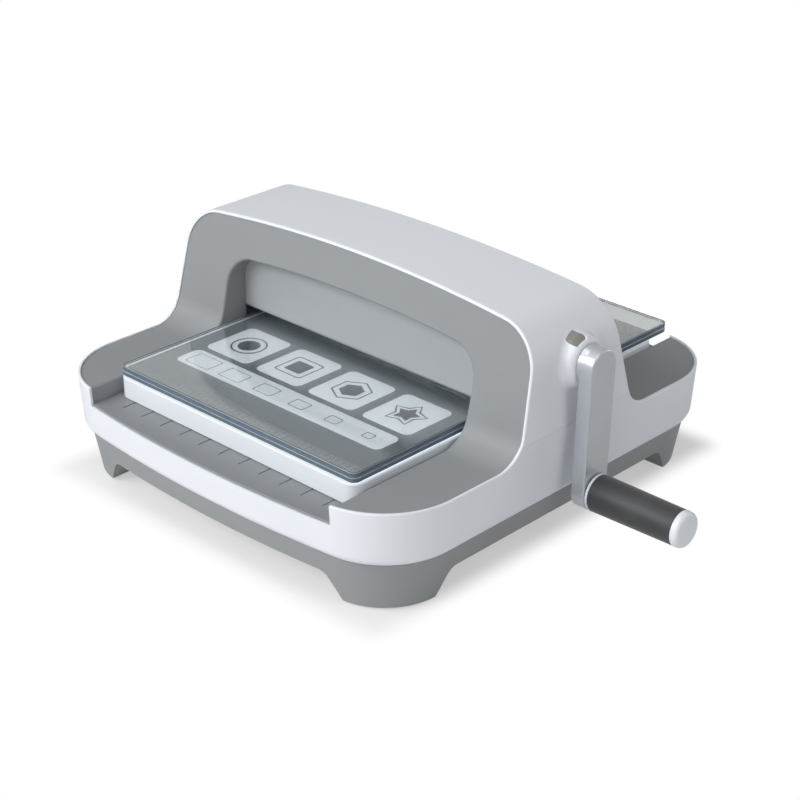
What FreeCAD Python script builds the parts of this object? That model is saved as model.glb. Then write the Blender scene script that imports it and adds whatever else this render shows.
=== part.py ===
import FreeCAD, Part
import math
import os
from FreeCAD import Placement, Rotation, Vector

# Tabletop die cutting machine. A crank turns two rollers under a bridge, and they draw
# a platform with its clear cutting pads through the machine from front to back.
# Millimetres. X runs to the crank side, Y to the back, Z up from the table.
# The sizes below count X from the body's middle and Y from the plane of the rollers; the
# finished pieces are moved so that both are zero in the middle of the box round them all.

# Base, seen from above and from the front
BASE_HALF_W = 162.6
BASE_HALF_L = 175.2
BASE_Y = -4.0
BOW_R = 1010.0
CORNER_R = 56.0
BAND_Z = 34.3
BAND_ROUND = 7.0
BAND_DRAFT = 0.065
RIM_Z = 73.2
SEAM_Z = 84.9
SEAM_GAP = 0.3
WALL = 1.8
RIM_ROUND = 1.0
FIT = 0.1

# Skirt and feet
SKIRT_TOP_INSET = 6.6
SKIRT_FOOT_INSET = 12.5
SKIRT_TOE_R = 1.5
FOOT_Z = 0.6
PAN_Z = 19.0
PAN_T = 2.0
SKIRT_T = 3.4
ARCH_X_FLOOR = 113.0
ARCH_X_TOP = 101.0
ARCH_Y = -2.4
ARCH_Y_FLOOR = 116.7
ARCH_Y_TOP = 104.7
FOOT_X = 126.4
FOOT_Y = 135.5
FOOT_PAD_R = 11.5

# Bridge: side view lines at the height LEAN_Z, and the front view outline
LEAN_Z = 84.0
FRONT_Y = -55.1
FRONT_LEAN = 0.224
FRONT_SWEEP_R = 22.8
REAR_Y = 51.5
REAR_LEAN = -0.245
REAR_SWEEP_R = 21.0
LEG_X = 163.6
LEG_DRAFT = 0.066
CROWN_Z = 164.8
CROWN_R = 1248.0
SHOULDER_R = 31.8

# Grey fascias, roller opening and feed trays
SET_BACK = 0.9
SKIN = 2.4
OPENING_HALF_W = 115.0
REAR_OPENING_HALF_W = 113.4
OPENING_Z = 135.4
OPENING_CROWN_R = 1150.0
OPENING_R = 22.0
MOUTH_ROUND = 1.6
REAR_MOUTH_ROUND = 0.8
NOTCH_HALF_W = 114.0
REAR_NOTCH_HALF_W = 113.2
NOTCH_Z = 59.2
LIP_INSET = 1.2
SHROUD_Y = 31.0
SHROUD_REAR_Y = 29.0
SHROUD_Z = 87.5
SHROUD_T = 2.2
BED_Z = 60.6
BED_T = 2.6
MARK_PITCH = 19.05
MARK_COUNT = 11

# Platform and its pads
PLATFORM_Z = 61.2
PLATFORM_TOP = 75.7
PLATFORM_HALF_W = 112.5
PLATFORM_BACK = 146.0
PAD_HALF_W = 111.1
PAD_FRONT = -148.4
PAD_BACK = 162.75
PAD_T = 3.6
PAD_GAP = 0.1
CARD_T = 0.5

# Rollers and gears
ROLLER_R = 12.5
ROLLER_HALF = 117.0
NIP_GAP = 0.3
JOURNAL_R = 8.0
RUN = 0.05
GEAR_SEAT_R = 7.0
PRESSURE = math.radians(25)
MESH_TEETH = 24
DRIVE_MODULE = 1.5
PINION_TEETH = 13
DRIVE_TEETH = 26
TOOTH_PLAY = 0.16
PLATE_X = 120.0
PLATE_T = 4.0
GEAR_X = 128.0
GEAR_W = 10.0
GEAR_PLATE_X = 144.0
GEAR_PLATE_T = 3.0

# Crank and grip
CRANK_SHAFT_R = 6.0
HUB_X = 169.0
HUB_R = 13.0
ARM_X = 170.7
ARM_T = 10.0
ARM_TOP_R = 12.1
ARM_END_R = 11.6
ARM_LENGTH = 86.3
THROW = 85.1
CRANK_LEAN = 2.0
GRIP_R = 12.8
GRIP_TIP_R = 12.15
COLLAR_X = 181.9
SLEEVE_X = 183.8
CAP_X = 247.4
GRIP_END = 253.6
COLLAR_R = 16.4
COLLAR_FLARE = 0.15
COLLAR_ROUND = 4.6
COLLAR_BLEND = 5.0
BUTTON_R = 17.1
BUTTON_HALF = 1.3
BUTTON_ARC = 13.0
BUTTON_TURN = 109.0
BUTTON_CREST_X = 166.2
BUTTON_SLOPE = 1.5
SPRING_RISE = 5.4

# Heights that follow from the sizes above
CARD_Z = PLATFORM_TOP
PAD_Z = PLATFORM_TOP + CARD_T
PAD_TOP = PAD_Z + 2 * (PAD_GAP + PAD_T)
UPPER_Z = PAD_TOP + NIP_GAP + ROLLER_R
LOWER_Z = PLATFORM_Z - NIP_GAP - ROLLER_R
MESH_MODULE = (UPPER_Z - LOWER_Z) / MESH_TEETH
CRANK_Z = UPPER_Z + DRIVE_MODULE * (PINION_TEETH + DRIVE_TEETH) / 2
GRIP_Y = -THROW * math.sin(math.radians(CRANK_LEAN))
GRIP_Z = CRANK_Z - THROW * math.cos(math.radians(CRANK_LEAN))
MIDDLE = Vector(-(GRIP_END - LEG_X) / 2, -BASE_Y, 0)
FAR = 260.0

# Views for flat outlines: from above, from the front and from the crank side
ABOVE = (Placement(), Vector(0, 0, 1))
FRONT = (Placement(Vector(), Rotation(Vector(1, 0, 0), 90)), Vector(0, 1, 0))
SIDE = (Placement(Vector(), Rotation(Vector(1, 1, 1), 120)), Vector(1, 0, 0))


def rounded(corners):
    """Closed wire through (u, v, radius) corners, each rounded by a tangent arc."""
    stretches = []
    for i, (u, v, radius) in enumerate(corners):
        here = Vector(u, v, 0)
        before = Vector(corners[i - 1][0], corners[i - 1][1], 0) - here
        after_corner = corners[(i + 1) % len(corners)]
        after = Vector(after_corner[0], after_corner[1], 0) - here
        before.normalize()
        after.normalize()
        if radius == 0:
            stretches.append((here, None, here))
            continue
        half = before.getAngle(after) / 2
        reach = radius / math.tan(half)
        inward = (before + after).normalize()
        middle = here + inward * (radius / math.sin(half) - radius)
        stretches.append((here + before * reach, middle, here + after * reach))
    edges = []
    for i, (start, middle, end) in enumerate(stretches):
        if middle is not None:
            edges.append(Part.Arc(start, middle, end).toShape())
        following = stretches[(i + 1) % len(stretches)][0]
        if end.distanceToPoint(following) > 1e-6:
            edges.append(Part.makeLine(end, following))
    return Part.Wire(edges)


def mirrored_corners(corners):
    """Corners of the right half, followed by their mirror images in reverse order."""
    return corners + [(-u, v, radius) for u, v, radius in reversed(corners)]


def slab(wire, view, start, end):
    """Solid of a flat outline between two distances along the view's axis."""
    turn, axis = view
    face = Part.Face(wire)
    face.Placement = turn
    face.translate(axis * start)
    return face.extrude(axis * (end - start))


def box(x0, x1, y0, y1, z0, z1):
    return Part.makeBox(x1 - x0, y1 - y0, z1 - z0, Vector(x0, y0, z0))


def rod(radius, x0, x1, y, z):
    """Round bar along X."""
    return Part.makeCylinder(radius, x1 - x0, Vector(x0, y, z), Vector(1, 0, 0))


def post(radius, x, y, z0, z1):
    """Round bar along Z."""
    return Part.makeCylinder(radius, z1 - z0, Vector(x, y, z0), Vector(0, 0, 1))


def turned(profile, y, z):
    """Solid of revolution about an X axis through (y, z), from (x, radius, rounding)."""
    shape = Part.Face(rounded(profile)).revolve(Vector(), Vector(1, 0, 0), 360)
    shape.translate(Vector(0, y, z))
    return shape


def group(solids):
    return Part.makeCompound(solids)


def edges_where(shape, test):
    """Edges of a shape along which a test holds at every sampled point."""
    return [e for e in shape.Edges if all(test(p) for p in e.discretize(5))]


def within(shape, point):
    return shape.isInside(point, 1e-4, True)


def foot_places():
    return [(sx * FOOT_X, BASE_Y + sy * FOOT_Y) for sx in (-1, 1) for sy in (-1, 1)]


def hexagon(flats, x0, x1, y, z):
    """Hexagonal bar along X."""
    radius = flats / math.sqrt(3)
    angles = [math.radians(60 * k) for k in range(6)]
    corners = [(y + radius * math.cos(a), z + radius * math.sin(a), 0) for a in angles]
    return slab(rounded(corners), SIDE, x0, x1)


def pan_head(radius, length, seat, direction, shank):
    """Screw with a domed head on its seat point; direction runs from the seat to the tip."""
    head = Part.makeCylinder(radius, 2.4, seat - direction * 2.4, direction)
    rim = [e for e in head.Edges if (e.CenterOfMass - seat).Length > 2]
    head = head.makeFillet(1.2, [e for e in rim if len(e.Vertexes) == 1])
    return head.fuse(Part.makeCylinder(shank, length, seat, direction)).removeSplitter()


def plan_wire(inset, z):
    """Outline of the base from above: straight sides, bowed ends, round corners."""
    bow = BOW_R - inset
    corner = CORNER_R - inset
    corner_x = BASE_HALF_W - CORNER_R
    bow_y = BASE_HALF_L - BOW_R
    corner_y = bow_y + math.sqrt((BOW_R - CORNER_R) ** 2 - corner_x ** 2)
    side_x = corner_x + corner
    along = Vector(corner_x, corner_y - bow_y, 0).normalize()
    joint = Vector(0, bow_y, 0) + along * bow
    split = (along + Vector(1, 0, 0)).normalize()
    middle = Vector(corner_x, corner_y, 0) + split * corner

    def at(point, sx, sy):
        return Vector(point.x * sx, BASE_Y + point.y * sy, z)

    side = Vector(side_x, corner_y, 0)
    top = Vector(0, bow_y + bow, 0)
    edges = []
    for sx, sy in ((1, 1), (-1, 1), (-1, -1), (1, -1)):
        ends = (side, joint) if sx * sy > 0 else (joint, side)
        arc = Part.Arc(at(ends[0], sx, sy), at(middle, sx, sy), at(ends[1], sx, sy))
        edges.append(arc.toShape())
        if sx * sy > 0:
            bow_arc = Part.Arc(at(joint, sx, sy), at(top, sx, sy), at(joint, -sx, sy))
            edges.append(bow_arc.toShape())
        else:
            edges.append(Part.makeLine(at(side, sx, sy), at(side, sx, -sy)))
    return Part.Wire(edges)


def tapered(low_inset, z0, high_inset, z1):
    """Solid between two outlines of the base at different heights."""
    return Part.makeLoft([plan_wire(low_inset, z0), plan_wire(high_inset, z1)], True, True)


def band_block(inset, z0, z1):
    """Solid inside the band's wall, which opens a little towards the top."""
    return tapered(inset + BAND_DRAFT * (RIM_Z - z0), z0, inset + BAND_DRAFT * (RIM_Z - z1), z1)


def side_slab(set_back, top, x0, x1):
    """Deck and bridge in side view, set back from the white rim's surface."""
    deck = RIM_Z - set_back

    def front_y(z):
        return FRONT_Y + FRONT_LEAN * (z - LEAN_Z) + set_back * math.hypot(1, FRONT_LEAN)

    def rear_y(z):
        return REAR_Y + REAR_LEAN * (z - LEAN_Z) - set_back * math.hypot(1, REAR_LEAN)

    corners = [
        (-FAR, 0, 0), (-FAR, deck, 0),
        (front_y(deck), deck, FRONT_SWEEP_R + set_back), (front_y(top), top, 0),
        (rear_y(top), top, 0), (rear_y(deck), deck, REAR_SWEEP_R + set_back),
        (FAR, deck, 0), (FAR, 0, 0)]
    return slab(rounded(corners), SIDE, x0, x1)


def crowned_slab(foot_x, draft, top, crown, shoulder, y0, y1):
    """Front view outline: sides drafted from the floor up, round shoulders and a crowned top."""
    crown_z = top - crown
    # Height where the side's line meets the crown's circle
    a = 1 + draft ** 2
    b = -2 * (foot_x * draft + crown_z)
    c = foot_x ** 2 + crown_z ** 2 - crown ** 2
    z = (-b + math.sqrt(b * b - 4 * a * c)) / (2 * a)
    x = foot_x - draft * z
    edges = [
        Part.makeLine(Vector(-foot_x, 0, 0), Vector(foot_x, 0, 0)),
        Part.makeLine(Vector(foot_x, 0, 0), Vector(x, z, 0)),
        Part.Arc(Vector(x, z, 0), Vector(0, top, 0), Vector(-x, z, 0)).toShape(),
        Part.makeLine(Vector(-x, z, 0), Vector(-foot_x, 0, 0))]
    arch = slab(Part.Wire(edges), FRONT, y0, y1)
    shoulders = [e for e in arch.Edges if abs(e.CenterOfMass.z - z) < 0.01
                 and abs(abs(e.CenterOfMass.x) - x) < 0.01]
    return arch.makeFillet(shoulder, shoulders)


def arch_slab(inset, y0, y1):
    """Bridge in front view."""
    foot_x = LEG_X + LEG_DRAFT * SEAM_Z - inset * math.hypot(1, LEG_DRAFT)
    return crowned_slab(foot_x, LEG_DRAFT, CROWN_Z - inset, CROWN_R - inset, SHOULDER_R - inset, y0, y1)


def opening_half(way):
    """Half width of the roller opening; way is -1 in front, 1 behind."""
    return OPENING_HALF_W if way < 0 else REAR_OPENING_HALF_W


def notch_half(way):
    """Half width of the gap in the band's rim that lets the platform pass."""
    return NOTCH_HALF_W if way < 0 else REAR_NOTCH_HALF_W


def opening_slab(way, grow, y0, y1):
    """Roller opening and the recess in the deck, in front view."""
    opening = crowned_slab(opening_half(way) + grow, 0, OPENING_Z + grow, OPENING_CROWN_R + grow,
                           OPENING_R + grow, y0, y1)
    return opening.cut(box(-FAR, FAR, -FAR, FAR, -1, 50))


def foot_arches(grow):
    """The spaces between the feet, through the base from front to back and side to side."""
    lean_x = (ARCH_X_FLOOR - ARCH_X_TOP) / PAN_Z
    lean_y = (ARCH_Y_FLOOR - ARCH_Y_TOP) / PAN_Z
    lift = PAN_T if grow else 0
    across = mirrored_corners([
        (ARCH_X_FLOOR + lean_x + grow, -1, 0), (ARCH_X_TOP + grow, PAN_Z + lift, 9 + grow)])
    along = mirrored_corners([
        (ARCH_Y_FLOOR + lean_y + grow, -1, 0), (ARCH_Y_TOP + grow, PAN_Z + lift, 9 + grow)])
    lengthways = slab(rounded(along), SIDE, -FAR, FAR)
    lengthways.translate(Vector(0, ARCH_Y, 0))
    return slab(rounded(across), FRONT, -FAR, FAR).fuse(lengthways)


def base_skirt():
    outside = tapered(SKIRT_FOOT_INSET, FOOT_Z, SKIRT_TOP_INSET, BAND_Z)
    toe = [e for e in outside.Edges if abs(e.BoundBox.ZMax - FOOT_Z) < 0.01]
    outside = outside.makeFillet(SKIRT_TOE_R, toe)
    floor_z = FOOT_Z + 5.5
    inside = tapered(SKIRT_FOOT_INSET + SKIRT_T, floor_z, SKIRT_TOP_INSET + SKIRT_T, BAND_Z + 1)
    skirt = outside.cut(foot_arches(0)).cut(inside.cut(foot_arches(SKIRT_T)))
    for x, y in foot_places():
        skirt = skirt.cut(post(FOOT_PAD_R, x, y, 0, FOOT_Z + 2))
        skirt = skirt.cut(post(4.0, x, y, FOOT_Z, FOOT_Z + 4.4))
        skirt = skirt.cut(post(2.0, x, y, FOOT_Z, floor_z + 1))
    for x, y in plate_bolt_places():
        skirt = skirt.cut(post(2.5, x, y, PAN_Z - 1, PAN_Z + PAN_T + 1))
    return skirt


def foot_pads():
    pads = []
    for x, y in foot_places():
        pad = post(FOOT_PAD_R, x, y, 0, FOOT_Z + 2)
        pads.append(pad.makeFillet(0.6, [e for e in pad.Edges if e.BoundBox.ZMax < 0.01]))
    return group(pads)


def base_screws():
    seat_z = FOOT_Z + 4.4
    up = Vector(0, 0, 1)
    return group([pan_head(3.6, 18, Vector(x, y, seat_z), up, 1.8) for x, y in foot_places()])


def base_band():
    """White band with a turned-in lower edge, and raised ears below the bridge's legs."""
    def bowl(inset, z0, z1, radius):
        solid = band_block(inset, z0, z1)
        low = [e for e in solid.Edges if e.BoundBox.ZMax < z0 + 0.01]
        return solid.makeFillet(radius, low)

    outside = bowl(0, BAND_Z, SEAM_Z, BAND_ROUND)
    inside = bowl(WALL, BAND_Z + WALL, SEAM_Z + 1, BAND_ROUND - WALL)
    band = outside.common(side_slab(0, CROWN_Z, -FAR, FAR))
    band = band.cut(inside).cut(band_block(BAND_ROUND + 5, BAND_Z - 1, BAND_Z + 5))
    for way, y0, y1 in ((-1, -FAR, -100), (1, 100, FAR)):
        half = notch_half(way)
        band = band.cut(box(-half, half, y0, y1, NOTCH_Z, FAR))
    core = band_block(0.5, 0, FAR)
    rim = edges_where(band, lambda p: p.z > RIM_Z - 0.1 and not within(core, p))
    return band.makeFillet(RIM_ROUND, [e for e in rim if e.BoundBox.ZMin < SEAM_Z - 0.1])


def feed_tray(way):
    """Flat tray between the roller and one end, on four webs."""
    half = opening_half(way) - 0.3
    sheet = band_block(LIP_INSET, BED_Z - BED_T, BED_Z)
    sheet = sheet.common(box(-half, half, -FAR, FAR, 0, FAR))
    lip_half = notch_half(way) - 0.3
    lip = box(-lip_half, lip_half, -FAR, FAR, NOTCH_Z + 0.1, FAR)
    sheet = sheet.common(band_block(WALL + FIT, 0, FAR).fuse(lip))
    inner = ROLLER_R + 1.5
    ends = (-FAR, -inner) if way < 0 else (inner, FAR)
    sheet = sheet.common(box(-half, half, ends[0], ends[1], 0, FAR))
    sheet = sheet.fuse([box(x - 1.2, x + 1.2, min(way * 46, way * 150), max(way * 46, way * 150),
                            PAN_Z + PAN_T, BED_Z - 1) for x in (-98, -33, 33, 98)])
    core = band_block(LIP_INSET + 0.3, 0, FAR)
    lip_edge = edges_where(sheet, lambda p: p.z > BED_Z - 0.01 and not within(core, p))
    sheet = sheet.makeFillet(0.8, lip_edge)
    start = BASE_Y + way * 134
    end = BASE_Y + way * 156
    for k in range(MARK_COUNT):
        x = (k - (MARK_COUNT - 1) / 2) * MARK_PITCH
        mark = [(x + 1.1, start, 0), (x + 0.5, end, 0.4), (x - 0.5, end, 0.4), (x - 1.1, start, 0)]
        sheet = sheet.cut(slab(rounded(mark), ABOVE, BED_Z - 0.5, BED_Z + 1))
    return sheet.removeSplitter()


def fascia(way):
    """Deck wings, bridge face and the lining of the roller opening, for one end."""
    outer = side_slab(SET_BACK, CROWN_Z + 20, -FAR, FAR)
    inner = side_slab(SET_BACK + SKIN, CROWN_Z + 30, -FAR, FAR)
    half = box(-FAR, FAR, -FAR, -SHROUD_Y + 0.6, 0, CROWN_Z + 19)
    lining_y = (-FAR, -SHROUD_Y - 0.3)
    if way > 0:
        half = box(-FAR, FAR, 22, FAR, 0, CROWN_Z + 19)
        lining_y = (SHROUD_REAR_Y + 0.3, FAR)
    lining = opening_slab(way, SKIN, *lining_y).common(outer)
    panel = outer.cut(inner).common(half).fuse(lining)
    panel = panel.cut(opening_slab(way, 0, -FAR, FAR))
    panel = panel.common(band_block(WALL + FIT, 50, FAR)).common(arch_slab(WALL + FIT, -FAR, FAR))
    panel = panel.removeSplitter()
    core = side_slab(SET_BACK + 0.3, CROWN_Z + 20, -FAR, FAR)
    mouth = opening_slab(way, 0.3, -FAR, FAR)
    lips = edges_where(panel, lambda p: not within(core, p) and within(mouth, p))
    panel = panel.makeFillet(MOUTH_ROUND if way < 0 else REAR_MOUTH_ROUND, lips)
    for x, y in foot_places():
        if y * way > 0:
            stand = post(4.5, x, y, FOOT_Z + 5.6, RIM_Z - SET_BACK - 1)
            panel = panel.fuse(stand.cut(post(1.8, x, y, 0, 30)))
    return panel.removeSplitter()


def hub_collar(lift):
    """Round-edged cone about the crank, from inside the cover to the crank's hub."""
    base = Vector(140 + lift, 0, CRANK_Z)
    length = HUB_X - 0.5 - 140
    foot_r = COLLAR_R + COLLAR_FLARE * length
    cone = Part.makeCone(foot_r, COLLAR_R, length, base, Vector(1, 0, 0))
    cone.rotate(base, Vector(1, 0, 0), 180)
    return cone.makeFillet(COLLAR_ROUND, edges_where(cone, lambda p: p.x > base.x + length - 0.01))


def cover_outside():
    """Bridge with the soft collar round the crank, before it is hollowed."""
    bridge = arch_slab(0, -FAR, FAR).common(side_slab(0, CROWN_Z + 20, -FAR, FAR))
    bridge = bridge.cut(box(-FAR, FAR, -FAR, FAR, -1, SEAM_Z + SEAM_GAP))
    core = side_slab(0.3, CROWN_Z + 20, -FAR, FAR)
    arch = arch_slab(0.3, -FAR, FAR)
    rim = edges_where(bridge, lambda p: not within(core, p) and not within(arch, p))
    bridge = bridge.makeFillet(1.2 * RIM_ROUND, rim)
    plain = bridge
    bridge = bridge.fuse(hub_collar(0)).removeSplitter()
    collar = hub_collar(0)
    joint = edges_where(bridge, lambda p: within(plain, p) and within(collar, p))
    return bridge.makeFillet(COLLAR_BLEND, joint)


def button_wire(grow):
    """Kidney shape concentric with the crank, above it and a little forward, in side view."""
    outer = BUTTON_R + BUTTON_HALF + grow
    inner = BUTTON_R - BUTTON_HALF - grow
    low = math.radians(BUTTON_TURN - BUTTON_ARC)
    high = math.radians(BUTTON_TURN + BUTTON_ARC)

    def at(radius, angle):
        return Vector(radius * math.cos(angle), CRANK_Z + radius * math.sin(angle), 0)

    def tip(angle, way):
        swing = (BUTTON_HALF + grow) / BUTTON_R
        return at(BUTTON_R * math.cos(swing), angle + way * swing)

    top = math.radians(BUTTON_TURN)
    return Part.Wire([
        Part.Arc(at(outer, low), at(outer, top), at(outer, high)).toShape(),
        Part.Arc(at(outer, high), tip(high, 1), at(inner, high)).toShape(),
        Part.Arc(at(inner, high), at(inner, top), at(inner, low)).toShape(),
        Part.Arc(at(inner, low), tip(low, -1), at(outer, low)).toShape()])


def bridge_cover():
    hollow = arch_slab(WALL, -FAR, FAR).cut(rod(CRANK_SHAFT_R + 4.5, 151, FAR, 0, CRANK_Z))
    shell = cover_outside().cut(hollow)
    shell = shell.cut(rod(CRANK_SHAFT_R + 1.2, 140, 170, 0, CRANK_Z))
    return shell.cut(slab(button_wire(0.25), SIDE, 140, 170))


def roller_shroud(way):
    """Recessed panel in front of the upper roller, with its lower lip turned inwards."""
    reach = SHROUD_Y if way < 0 else SHROUD_REAR_Y
    face = way * reach
    back = way * (reach - SHROUD_T)
    lip = way * (reach - 9)
    top = 147 if way < 0 else 141
    corners = [
        (face, top, 0), (face, SHROUD_Z, 4), (lip, SHROUD_Z, 0),
        (lip, SHROUD_Z + SHROUD_T, 0), (back, SHROUD_Z + SHROUD_T, 4 - SHROUD_T), (back, top, 0)]
    half = PLATE_X - 0.6
    return slab(rounded(corners), SIDE, -half, half)


def plate_bolt_places():
    """Two bolts on the left, where the lower mesh gear is in the way of a third, and three right."""
    x = PLATE_X + 15
    return [(-x, -36), (-x, 36), (x, -36), (x, 0), (x, 36)]


def tie_rod_places():
    return {"upper_front": (-20, 133), "upper_rear": (18, 133),
            "lower_front": (-37, 34), "lower_rear": (37, 34)}


def side_plate(way):
    """Steel frame plate with a foot bent outwards onto the pan."""
    foot_z = PAN_Z + PAN_T
    corners = [(-46, foot_z, 0), (-46, 84, 8), (-34, 150, 8), (24, 150, 8), (43, 84, 8), (46, foot_z, 0)]
    start = PLATE_X if way > 0 else -PLATE_X - PLATE_T
    plate = slab(rounded(corners), SIDE, start, start + PLATE_T)
    reach = PLATE_X + 22
    foot = box(min(way * PLATE_X, way * reach), max(way * PLATE_X, way * reach),
               -46, 46, foot_z, foot_z + PLATE_T)
    plate = plate.fuse(foot).removeSplitter()
    # The lower mesh gear dips into a window in the left plate's foot
    if way < 0:
        plate = plate.cut(box(-FAR, -PLATE_X - PLATE_T, -20, 20, foot_z, foot_z + PLATE_T + 1))
    for z in (LOWER_Z, UPPER_Z):
        plate = plate.cut(rod(JOURNAL_R + 2.5, -FAR, FAR, 0, z))
    if way > 0:
        plate = plate.cut(rod(CRANK_SHAFT_R + 2, -FAR, FAR, 0, CRANK_Z))
        for y, z in gear_plate_places():
            plate = plate.cut(rod(1.8, -FAR, FAR, y, z))
    for y, z in tie_rod_places().values():
        plate = plate.cut(rod(4, -FAR, FAR, y, z))
    for x, y in plate_bolt_places():
        plate = plate.cut(post(2.5, x, y, foot_z - 1, foot_z + PLATE_T + 1))
    return plate


def plate_bolts():
    seat_z = PAN_Z + PAN_T + PLATE_T
    down = Vector(0, 0, -1)
    return group([pan_head(4.5, PLATE_T + PAN_T - 0.3, Vector(x, y, seat_z), down, 2.5)
                  for x, y in plate_bolt_places()])


def tie_rod(place):
    """Round spacer bar between the side plates, with stepped ends through them."""
    y, z = tie_rod_places()[place]
    end = PLATE_X + PLATE_T + 6.5
    return rod(5.5, -PLATE_X, PLATE_X, y, z).fuse(rod(4, -end, end, y, z)).removeSplitter()


def tie_rod_nuts():
    nuts = []
    seat = PLATE_X + PLATE_T
    for y, z in tie_rod_places().values():
        for x0, x1 in ((seat, seat + 5.5), (-seat - 5.5, -seat)):
            nuts.append(hexagon(13, x0, x1, y, z).cut(rod(4, x0, x1, y, z)))
    return group(nuts)


def bush(inner, outer, x0, x1, z, flange_way):
    """Flanged plain bearing; the flange is on the inner or outer side of its plate."""
    ring = rod(outer, x0, x1, 0, z)
    edge = x0 if flange_way < 0 else x1
    ring = ring.fuse(rod(outer + 2.5, min(edge, edge + flange_way * 1.5),
                         max(edge, edge + flange_way * 1.5), 0, z))
    return ring.cut(rod(inner + RUN, -FAR, FAR, 0, z)).removeSplitter()


def roller_bush(way, z):
    x0 = PLATE_X if way > 0 else -PLATE_X - PLATE_T
    return bush(JOURNAL_R, JOURNAL_R + 2.5, x0, x0 + PLATE_T, z, -way)


def gear_plate_places():
    return [(8, 141), (-19, 68), (19, 68)]


def gear_plate():
    """Outer bearing plate for the crank, carried on three spacers."""
    corners = [(13, 148, 9), (30, 60, 9), (-30, 60, 9), (-13, 148, 9)]
    plate = slab(rounded(corners), SIDE, GEAR_PLATE_X, GEAR_PLATE_X + GEAR_PLATE_T)
    plate = plate.cut(rod(CRANK_SHAFT_R + 2, -FAR, FAR, 0, CRANK_Z))
    for y, z in gear_plate_places():
        plate = plate.cut(rod(1.8, -FAR, FAR, y, z))
    return plate.cut(rod(9, -FAR, FAR, 0, UPPER_Z - 5))


def gear_plate_spacers():
    start = PLATE_X + PLATE_T
    return group([rod(4, start, GEAR_PLATE_X, y, z).cut(rod(1.8, start, GEAR_PLATE_X, y, z))
                  for y, z in gear_plate_places()])


def gear_plate_screws():
    seat = GEAR_PLATE_X + GEAR_PLATE_T
    inward = Vector(-1, 0, 0)
    return group([pan_head(3.6, seat - PLATE_X, Vector(seat, y, z), inward, 1.8)
                  for y, z in gear_plate_places()])


def gear(teeth, module, turn, x0, x1, z, bore):
    """Spur gear with involute flanks; turn is the angle of one tooth's middle from +Y."""
    pitch_r = teeth * module / 2
    base_r = pitch_r * math.cos(PRESSURE)
    root_r = pitch_r - 1.25 * module
    tip_r = pitch_r + module
    start_r = max(base_r, root_r)
    play = TOOTH_PLAY / (2 * pitch_r)

    def involute(angle):
        return math.tan(angle) - angle

    def half_tooth(radius):
        lean = involute(PRESSURE) - involute(math.acos(min(1, base_r / radius)))
        return math.pi / (2 * teeth) - play + lean

    def at(radius, angle):
        return Vector(radius * math.cos(angle), radius * math.sin(angle), 0)

    edges = []
    pitch = 2 * math.pi / teeth
    waist_r = (start_r + tip_r) / 2
    for k in range(teeth):
        c = turn + k * pitch
        low = [at(r, c - half_tooth(r)) for r in (start_r, waist_r, tip_r)]
        high = [at(r, c + half_tooth(r)) for r in (tip_r, waist_r, start_r)]
        gap = c + half_tooth(start_r)
        following = c + pitch - half_tooth(start_r)
        edges.append(Part.Arc(*low).toShape())
        edges.append(Part.Arc(low[2], at(tip_r, c), high[0]).toShape())
        edges.append(Part.Arc(*high).toShape())
        if start_r > root_r:
            edges.append(Part.makeLine(high[2], at(root_r, gap)))
        middle = at(root_r, c + pitch / 2)
        edges.append(Part.Arc(at(root_r, gap), middle, at(root_r, following)).toShape())
        if start_r > root_r:
            edges.append(Part.makeLine(at(root_r, following), at(start_r, following)))
    wheel = slab(Part.Wire(edges), SIDE, x0, x1)
    wheel.translate(Vector(0, 0, z))
    return wheel.cut(rod(bore, x0, x1, 0, z))


def meshing(teeth, turn, mate_teeth, direction):
    """Angle of one tooth of the mating gear, which lies in the given direction."""
    phase = (direction - turn) * teeth / (2 * math.pi)
    return direction + math.pi - (0.5 - phase) * 2 * math.pi / mate_teeth


UP = math.pi / 2
LOWER_TURN = UP
UPPER_TURN = meshing(MESH_TEETH, LOWER_TURN, MESH_TEETH, UP)
DRIVE_TURN = UP
PINION_TURN = meshing(DRIVE_TEETH, DRIVE_TURN, PINION_TEETH, UP)


def mesh_gear(turn, z):
    wheel = gear(MESH_TEETH, MESH_MODULE, turn, -GEAR_X - GEAR_W, -GEAR_X, z, GEAR_SEAT_R)
    for k in range(6):
        angle = math.radians(60 * k + 30)
        y = 14 * math.cos(angle)
        wheel = wheel.cut(rod(3.4, -FAR, FAR, y, z + 14 * math.sin(angle)))
    return wheel


def upper_drive_gear():
    return gear(DRIVE_TEETH, DRIVE_MODULE, DRIVE_TURN, GEAR_X, GEAR_X + GEAR_W, UPPER_Z, GEAR_SEAT_R)


def crank_pinion():
    return gear(PINION_TEETH, DRIVE_MODULE, PINION_TURN, GEAR_X, GEAR_X + GEAR_W, CRANK_Z, CRANK_SHAFT_R)


def roller(z, right_end):
    """Ground steel roller with journals and gear seats."""
    seat = PLATE_X + PLATE_T + 2
    left_end = GEAR_X + GEAR_W + 1
    profile = [
        (-left_end, 0, 0), (-left_end, GEAR_SEAT_R, 0), (-seat, GEAR_SEAT_R, 0),
        (-seat, JOURNAL_R, 0), (-ROLLER_HALF, JOURNAL_R, 0), (-ROLLER_HALF, ROLLER_R, 0.8),
        (ROLLER_HALF, ROLLER_R, 0.8), (ROLLER_HALF, JOURNAL_R, 0), (seat, JOURNAL_R, 0),
        (seat, GEAR_SEAT_R, 0), (right_end, GEAR_SEAT_R, 0), (right_end, 0, 0)]
    return turned(profile, 0, z)


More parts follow.
